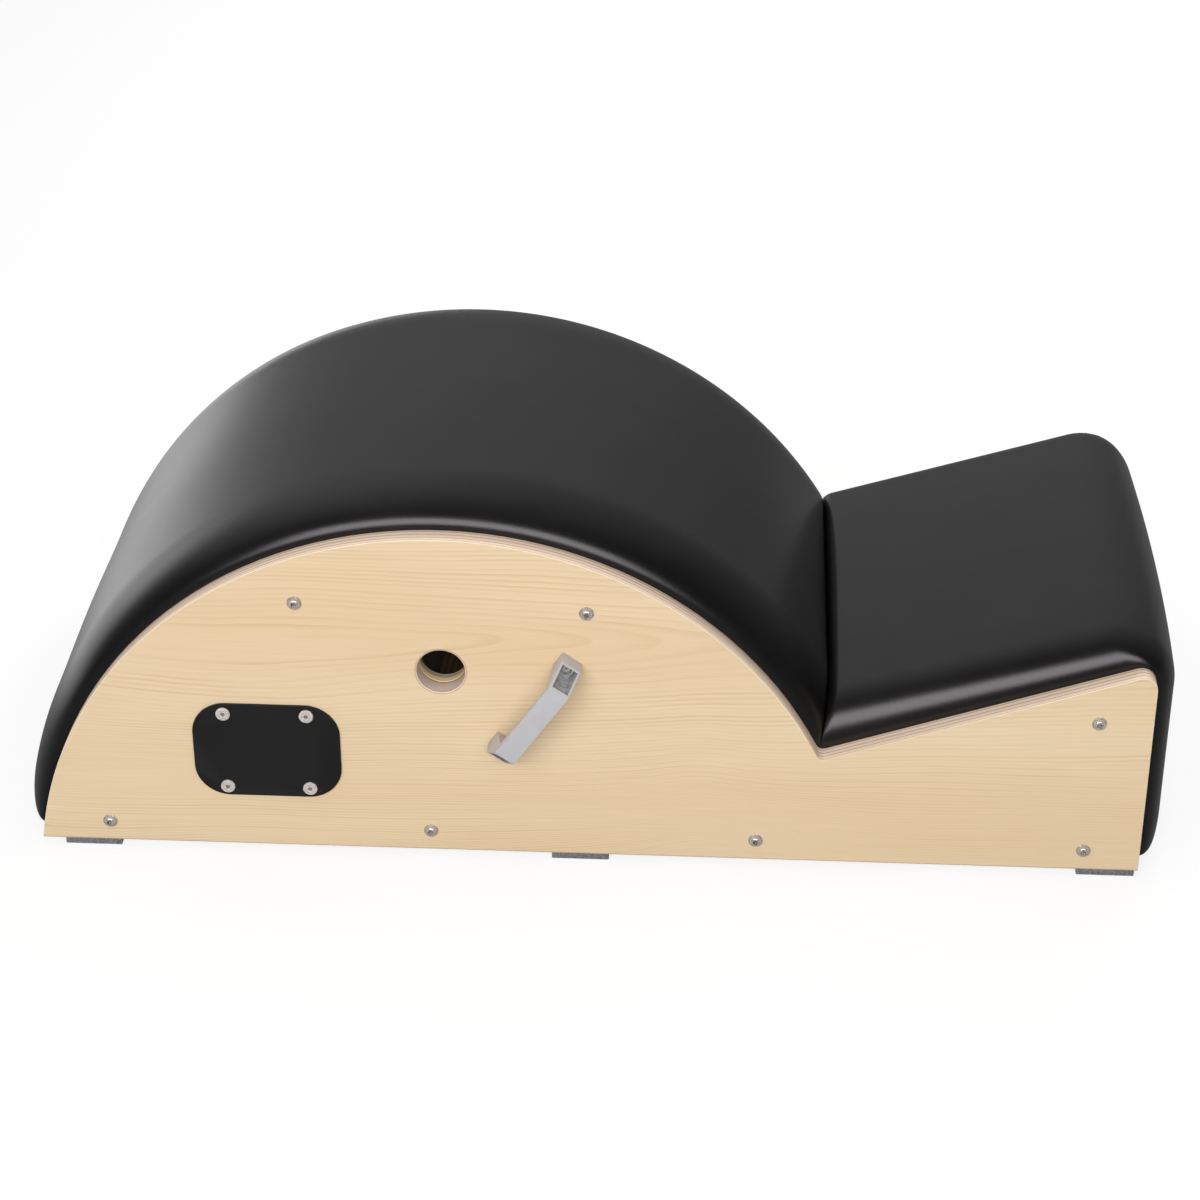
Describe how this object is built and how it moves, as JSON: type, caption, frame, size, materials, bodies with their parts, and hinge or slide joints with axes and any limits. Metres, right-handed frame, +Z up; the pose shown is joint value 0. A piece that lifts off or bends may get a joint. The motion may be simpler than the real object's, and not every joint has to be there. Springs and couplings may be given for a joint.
{
  "type": "spine_corrector",
  "caption": "Exercise barrel with an arched padded top and a sloping padded seat between plywood side panels, with grip holes and a bow handle on each side.",
  "frame": {"origin": "On the floor, under the middle of the whole outline.", "axes": "+X to the seat end, -Y to the face that carries the plate, +Z up."},
  "size_m": [1.0144, 0.5286, 0.346],
  "materials": {
    "panel_wood": "clear satin lacquer over pale veneer",
    "deck_plywood": "bare plywood",
    "rail_wood": "planed softwood",
    "leatherette": "fine grained, satin",
    "foam": "open foam",
    "black_plate": "matte black",
    "stainless_steel": "turned, bright",
    "insert_brass": "turned",
    "cast_metal": "light grey satin",
    "grey_felt": "pressed felt"
  },
  "bodies": {
    "root": {"barrel_cover": "leatherette", "barrel_deck": "deck_plywood", "barrel_foam": "foam", "blank_plate": "black_plate", "foot_pad_front_1": "grey_felt", "foot_pad_front_2": "grey_felt", "foot_pad_front_3": "grey_felt", "foot_pad_rear_1": "grey_felt", "foot_pad_rear_2": "grey_felt", "foot_pad_rear_3": "grey_felt", "handle_front": "cast_metal", "handle_rear": "cast_metal", "handle_screw_front_lower": "stainless_steel", "handle_screw_front_upper": "stainless_steel", "handle_screw_rear_lower": "stainless_steel", "handle_screw_rear_upper": "stainless_steel", "panel_bolt_front_1": "stainless_steel", "panel_bolt_front_2": "stainless_steel", "panel_bolt_front_3": "stainless_steel", "panel_bolt_front_4": "stainless_steel", "panel_bolt_front_5": "stainless_steel", "panel_bolt_front_6": "stainless_steel", "panel_bolt_front_7": "stainless_steel", "panel_bolt_rear_1": "stainless_steel", "panel_bolt_rear_2": "stainless_steel", "panel_bolt_rear_3": "stainless_steel", "panel_bolt_rear_4": "stainless_steel", "panel_bolt_rear_5": "stainless_steel", "panel_bolt_rear_6": "stainless_steel", "panel_bolt_rear_7": "stainless_steel", "plate_screw_1": "stainless_steel", "plate_screw_2": "stainless_steel", "plate_screw_3": "stainless_steel", "plate_screw_4": "stainless_steel", "rail_barrel_left": "rail_wood", "rail_barrel_right": "rail_wood", "rail_bottom_1": "rail_wood", "rail_bottom_2": "rail_wood", "rail_bottom_3": "rail_wood", "rail_bottom_4": "rail_wood", "rail_insert_front_1": "insert_brass", "rail_insert_front_2": "insert_brass", "rail_insert_front_3": "insert_brass", "rail_insert_front_4": "insert_brass", "rail_insert_front_5": "insert_brass", "rail_insert_front_6": "insert_brass", "rail_insert_front_7": "insert_brass", "rail_insert_rear_1": "insert_brass", "rail_insert_rear_2": "insert_brass", "rail_insert_rear_3": "insert_brass", "rail_insert_rear_4": "insert_brass", "rail_insert_rear_5": "insert_brass", "rail_insert_rear_6": "insert_brass", "rail_insert_rear_7": "insert_brass", "rail_seat": "rail_wood", "seat_cover": "leatherette", "seat_deck": "deck_plywood", "seat_foam": "foam", "side_panel_front": "panel_wood", "side_panel_rear": "panel_wood"}
  },
  "joints": []
}
